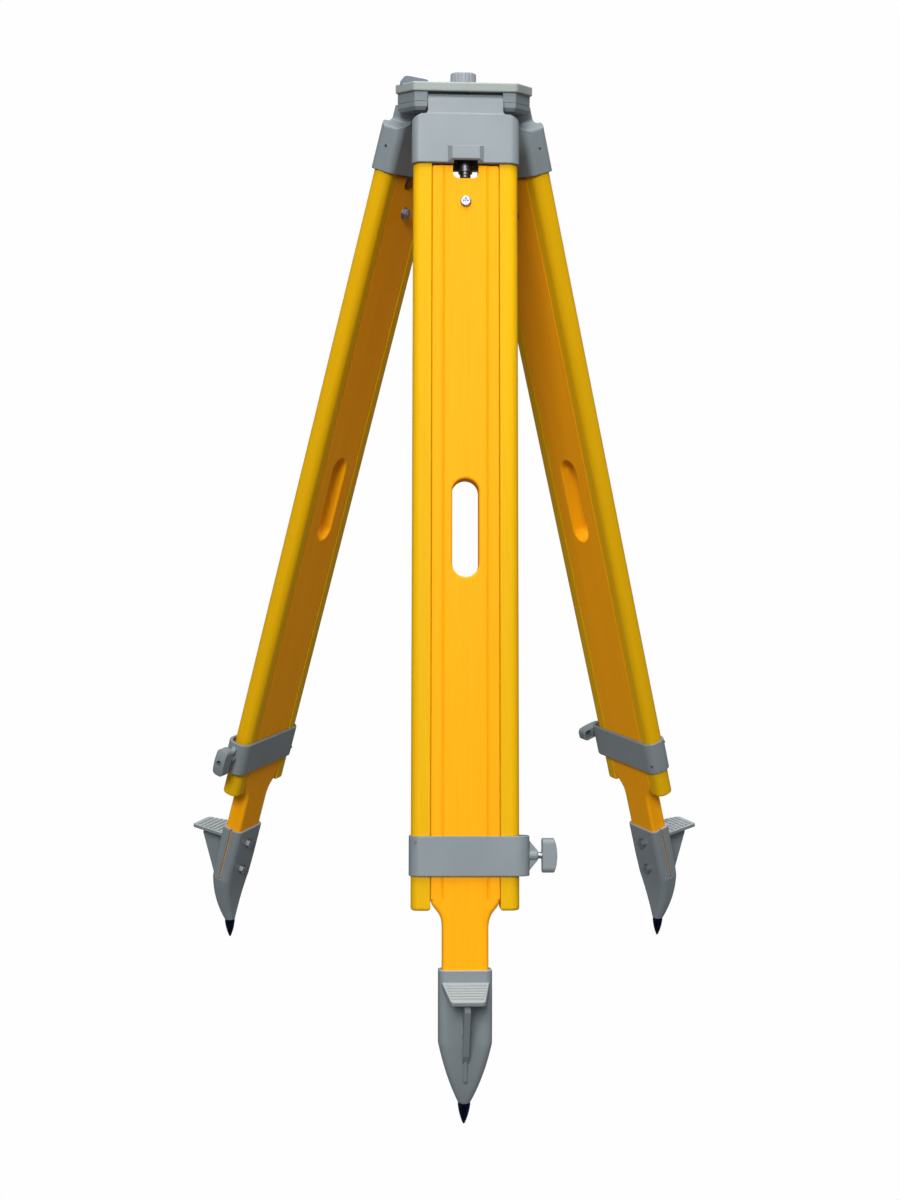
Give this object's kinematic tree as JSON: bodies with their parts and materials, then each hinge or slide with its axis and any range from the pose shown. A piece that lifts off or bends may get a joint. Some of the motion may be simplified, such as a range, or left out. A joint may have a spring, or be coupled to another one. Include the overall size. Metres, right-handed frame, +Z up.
{
  "type": "surveying tripod",
  "caption": "Telescopic wooden surveying tripod: cast head with a centring screw, sliding board legs with knob clamps, and cast foot shoes with pedals and steel points.",
  "frame": {"origin": "point on the ground plumb below the centre of the head; the three foot points stand on Z = 0", "axes": "+Z up along the tripod's axis of three-fold symmetry; the front leg points along -Y"},
  "size_m": [0.6288, 0.569, 1.0232],
  "materials": {
    "casting_grey": "grey enamel on cast aluminium, satin",
    "plate_grey": "light grey enamel on cast aluminium, satin",
    "rail_wood": "yellow lacquered hardwood, gloss",
    "board_wood": "orange-yellow lacquered hardwood, gloss",
    "zinc_steel": "zinc plated",
    "dark_steel": "blackened",
    "point_steel": "blued hardened steel",
    "brass": "machined",
    "black_plastic": "moulded, matt",
    "cap_plastic": "moulded, satin"
  },
  "bodies": {
    "head": {"head_plate": "plate_grey", "bearing_cap_rear": "casting_grey", "bearing_cap_front_left": "casting_grey", "bearing_cap_front_right": "casting_grey", "bearing_cap_screws": "zinc_steel", "corner_tab": "plate_grey", "arm_pivot_screw": "zinc_steel", "front_hinge_pin": "zinc_steel", "right_hinge_pin": "zinc_steel", "left_hinge_pin": "zinc_steel"},
    "arm": {"centring_arm": "zinc_steel"},
    "bush": {"slide_bush": "brass"},
    "screw": {"centring_screw": "zinc_steel", "centring_knob": "black_plastic", "plumb_hook": "zinc_steel"},
    "thread_cover": {"thread_cap": "cap_plastic"},
    "front_leg": {"front_leg_cap": "casting_grey", "front_rail_knob_side": "rail_wood", "front_rail_plain_side": "rail_wood", "front_roll_pins": "dark_steel", "front_tension_bolt": "dark_steel", "front_leg_clamp": "casting_grey"},
    "front_extension": {"front_lower_leg": "board_wood", "front_stop_screw": "zinc_steel", "front_foot_shoe": "casting_grey", "front_foot_tip": "point_steel", "front_shoe_bolts": "zinc_steel"},
    "front_pad": {"front_clamp_pad": "black_plastic"},
    "front_clamp": {"front_clamp_screw": "zinc_steel", "front_clamp_knob": "casting_grey"},
    "right_leg": {"right_leg_cap": "casting_grey", "right_rail_knob_side": "rail_wood", "right_rail_plain_side": "rail_wood", "right_roll_pins": "dark_steel", "right_tension_bolt": "dark_steel", "right_leg_clamp": "casting_grey"},
    "right_extension": {"right_lower_leg": "board_wood", "right_stop_screw": "zinc_steel", "right_foot_shoe": "casting_grey", "right_foot_tip": "point_steel", "right_shoe_bolts": "zinc_steel"},
    "right_pad": {"right_clamp_pad": "black_plastic"},
    "right_clamp": {"right_clamp_screw": "zinc_steel", "right_clamp_knob": "casting_grey"},
    "left_leg": {"left_leg_cap": "casting_grey", "left_rail_knob_side": "rail_wood", "left_rail_plain_side": "rail_wood", "left_roll_pins": "dark_steel", "left_tension_bolt": "dark_steel", "left_leg_clamp": "casting_grey"},
    "left_extension": {"left_lower_leg": "board_wood", "left_stop_screw": "zinc_steel", "left_foot_shoe": "casting_grey", "left_foot_tip": "point_steel", "left_shoe_bolts": "zinc_steel"},
    "left_pad": {"left_clamp_pad": "black_plastic"},
    "left_clamp": {"left_clamp_screw": "zinc_steel", "left_clamp_knob": "casting_grey"}
  },
  "joints": [
    {"name": "front_leg_swing", "type": "hinge", "parent": "head", "child": "front_leg", "pos_m": [0, -0.042, 0.9886], "axis": [-1, 0, 0], "range_deg": [-16, 14]},
    {"name": "front_leg_extend", "type": "slide", "parent": "front_leg", "child": "front_extension", "axis": [0, -0.2761, -0.9611], "range_m": [0, 0.627]},
    {"name": "front_pad_travel", "type": "slide", "parent": "front_leg", "child": "front_pad", "axis": [1, 0, 0], "range_m": [0, 0.002]},
    {"name": "front_clamp_turn", "type": "hinge", "parent": "front_pad", "child": "front_clamp", "pos_m": [0.0827, -0.26063, 0.25584], "axis": [1, 0, 0], "range_deg": [0, 720]},
    {"name": "right_leg_swing", "type": "hinge", "parent": "head", "child": "right_leg", "pos_m": [0.03637, 0.021, 0.9886], "axis": [0.5, -0.866, 0], "range_deg": [-16, 14]},
    {"name": "right_leg_extend", "type": "slide", "parent": "right_leg", "child": "right_extension", "axis": [0.2391, 0.1381, -0.9611], "range_m": [0, 0.627]},
    {"name": "right_pad_travel", "type": "slide", "parent": "right_leg", "child": "right_pad", "axis": [-0.5, 0.866, 0], "range_m": [0, 0.002]},
    {"name": "right_clamp_turn", "type": "hinge", "parent": "right_pad", "child": "right_clamp", "pos_m": [0.18436, 0.20194, 0.25584], "axis": [-0.5, 0.866, 0], "range_deg": [0, 720]},
    {"name": "left_leg_swing", "type": "hinge", "parent": "head", "child": "left_leg", "pos_m": [-0.03637, 0.021, 0.9886], "axis": [0.5, 0.866, 0], "range_deg": [-16, 14]},
    {"name": "left_leg_extend", "type": "slide", "parent": "left_leg", "child": "left_extension", "axis": [-0.2391, 0.1381, -0.9611], "range_m": [0, 0.627]},
    {"name": "left_pad_travel", "type": "slide", "parent": "left_leg", "child": "left_pad", "axis": [-0.5, -0.866, 0], "range_m": [0, 0.002]},
    {"name": "left_clamp_turn", "type": "hinge", "parent": "left_pad", "child": "left_clamp", "pos_m": [-0.26706, 0.05869, 0.25584], "axis": [-0.5, -0.866, 0], "range_deg": [0, 720]},
    {"name": "arm_swing", "type": "hinge", "parent": "head", "child": "arm", "pos_m": [0, 0.037, 0.9966], "axis": [0, 0, 1], "range_deg": [-18, 18]},
    {"name": "screw_slide", "type": "slide", "parent": "arm", "child": "bush", "axis": [0, 1, 0], "range_m": [-0.0115, 0.0115]},
    {"name": "screw_turn", "type": "hinge", "parent": "bush", "child": "screw", "pos_m": [0, 0, 0.9986], "axis": [0, 0, 1], "continuous": true},
    {"name": "thread_cap_lift", "type": "slide", "parent": "screw", "child": "thread_cover", "axis": [0, 0, 1], "range_m": [0, 0.04]}
  ],
  "couplings": [
    {"joint": "front_pad_travel", "follows": "front_clamp_turn", "m_per_rad": 0.00015915},
    {"joint": "right_pad_travel", "follows": "right_clamp_turn", "m_per_rad": 0.00015915},
    {"joint": "left_pad_travel", "follows": "left_clamp_turn", "m_per_rad": 0.00015915}
  ]
}
